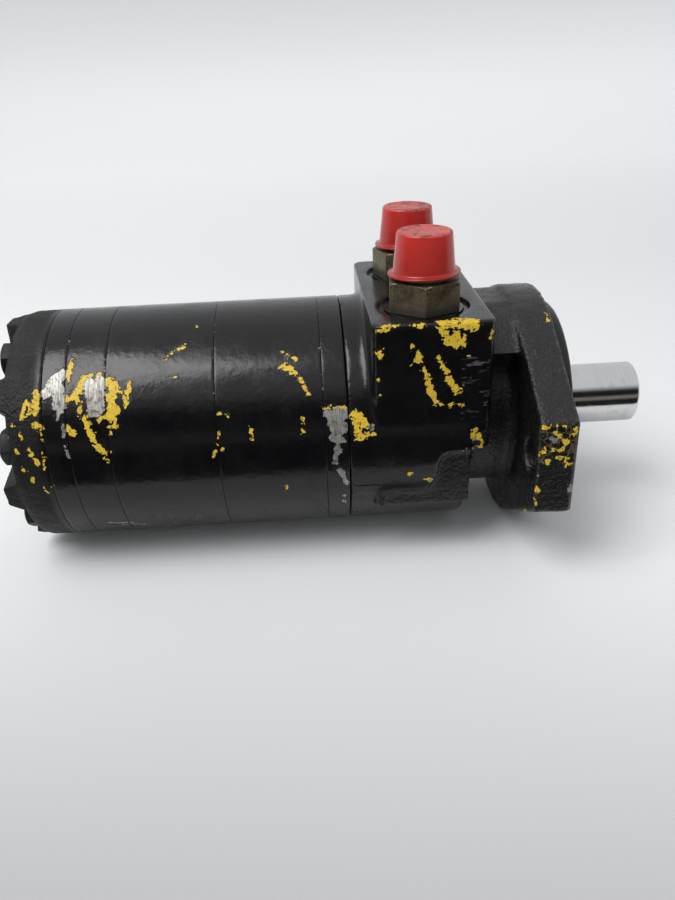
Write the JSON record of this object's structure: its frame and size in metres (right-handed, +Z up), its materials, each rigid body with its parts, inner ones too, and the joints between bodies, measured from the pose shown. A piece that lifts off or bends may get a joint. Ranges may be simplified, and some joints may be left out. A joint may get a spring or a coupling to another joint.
{
  "type": "hydraulic motor",
  "caption": "Orbital roller hydraulic motor with a straight shaft, a two-bolt flange, a top port block with capped adapters and a bolted plate stack.",
  "frame": {"origin": "where the shaft's axis meets the flange's mounting face", "axes": "+X along the shaft towards its free end, +Z up to the ports, +Y across"},
  "size_m": [0.2562, 0.129, 0.1266],
  "materials": {
    "black_paint": "gloss black paint, chipped to yellow undercoat and bare iron",
    "ground_steel": "ground",
    "steel": "ground and oiled",
    "bronze": "sintered",
    "seal_rubber": "moulded",
    "plated_steel": "dull yellow-olive chromate",
    "red_plastic": "soft moulded, scuffed"
  },
  "bodies": {
    "root": {"housing": "black_paint", "wear_plate": "black_paint", "stator_front": "black_paint", "stator_rear": "black_paint", "manifold": "black_paint", "commutator_ring": "black_paint", "end_cover": "black_paint", "cover_bolts": "black_paint", "dust_seal": "seal_rubber", "front_bushing": "bronze", "shaft_seal": "seal_rubber", "seal_backup_ring": "steel", "thrust_washer": "steel", "rear_bushing": "bronze", "body_seal_1": "seal_rubber", "body_seal_2": "seal_rubber", "body_seal_3": "seal_rubber", "body_seal_4": "seal_rubber", "body_seal_5": "seal_rubber", "body_seal_6": "seal_rubber", "port_fitting_a": "plated_steel", "port_fitting_b": "plated_steel", "fitting_seal_a": "seal_rubber", "fitting_seal_b": "seal_rubber"},
    "shaft": {"output_shaft": "ground_steel"},
    "commutator": {"commutator": "steel", "commutator_seal": "seal_rubber"},
    "rotor": {"rotor": "steel"},
    "drive_link": {"drive_link": "steel"},
    "roller_1": {"roller_1": "steel"},
    "roller_2": {"roller_2": "steel"},
    "roller_3": {"roller_3": "steel"},
    "roller_4": {"roller_4": "steel"},
    "roller_5": {"roller_5": "steel"},
    "roller_6": {"roller_6": "steel"},
    "roller_7": {"roller_7": "steel"},
    "cap_a": {"thread_cap_a": "red_plastic"},
    "cap_b": {"thread_cap_b": "red_plastic"}
  },
  "joints": [
    {"name": "shaft_spin", "type": "hinge", "parent": "root", "child": "shaft", "pos_m": [0, 0, 0], "axis": [1, 0, 0], "continuous": true},
    {"name": "commutator_orbit", "type": "hinge", "parent": "root", "child": "commutator", "pos_m": [-0.1881, 0, 0], "axis": [1, 0, 0], "continuous": true},
    {"name": "rotor_spin", "type": "hinge", "parent": "commutator", "child": "rotor", "pos_m": [-0.1293, 0, -0.0022], "axis": [1, 0, 0], "continuous": true},
    {"name": "link_spin", "type": "hinge", "parent": "commutator", "child": "drive_link", "pos_m": [-0.06, 0, 0], "axis": [0.9997, 0, 0.0244], "continuous": true},
    {"name": "roller_1_spin", "type": "hinge", "parent": "root", "child": "roller_1", "pos_m": [-0.1293, 0, 0.0275], "axis": [1, 0, 0], "continuous": true},
    {"name": "roller_2_spin", "type": "hinge", "parent": "root", "child": "roller_2", "pos_m": [-0.1293, -0.0215, 0.01715], "axis": [1, 0, 0], "continuous": true},
    {"name": "roller_3_spin", "type": "hinge", "parent": "root", "child": "roller_3", "pos_m": [-0.1293, -0.02681, -0.00612], "axis": [1, 0, 0], "continuous": true},
    {"name": "roller_4_spin", "type": "hinge", "parent": "root", "child": "roller_4", "pos_m": [-0.1293, -0.01193, -0.02478], "axis": [1, 0, 0], "continuous": true},
    {"name": "roller_5_spin", "type": "hinge", "parent": "root", "child": "roller_5", "pos_m": [-0.1293, 0.01193, -0.02478], "axis": [1, 0, 0], "continuous": true},
    {"name": "roller_6_spin", "type": "hinge", "parent": "root", "child": "roller_6", "pos_m": [-0.1293, 0.02681, -0.00612], "axis": [1, 0, 0], "continuous": true},
    {"name": "roller_7_spin", "type": "hinge", "parent": "root", "child": "roller_7", "pos_m": [-0.1293, 0.0215, 0.01715], "axis": [1, 0, 0], "continuous": true},
    {"name": "cap_a_pull", "type": "slide", "parent": "root", "child": "cap_a", "axis": [0, 0, 1], "range_m": [0, 0.022]},
    {"name": "cap_b_pull", "type": "slide", "parent": "root", "child": "cap_b", "axis": [0, 0, 1], "range_m": [0, 0.022]}
  ],
  "couplings": [
    {"joint": "commutator_orbit", "follows": "shaft_spin", "ratio": -6},
    {"joint": "rotor_spin", "follows": "shaft_spin", "ratio": 7},
    {"joint": "link_spin", "follows": "shaft_spin", "ratio": 7},
    {"joint": "roller_1_spin", "follows": "shaft_spin", "ratio": -4.5853},
    {"joint": "roller_2_spin", "follows": "shaft_spin", "ratio": -4.5853},
    {"joint": "roller_3_spin", "follows": "shaft_spin", "ratio": -4.5853},
    {"joint": "roller_4_spin", "follows": "shaft_spin", "ratio": -4.5853},
    {"joint": "roller_5_spin", "follows": "shaft_spin", "ratio": -4.5853},
    {"joint": "roller_6_spin", "follows": "shaft_spin", "ratio": -4.5853},
    {"joint": "roller_7_spin", "follows": "shaft_spin", "ratio": -4.5853}
  ]
}
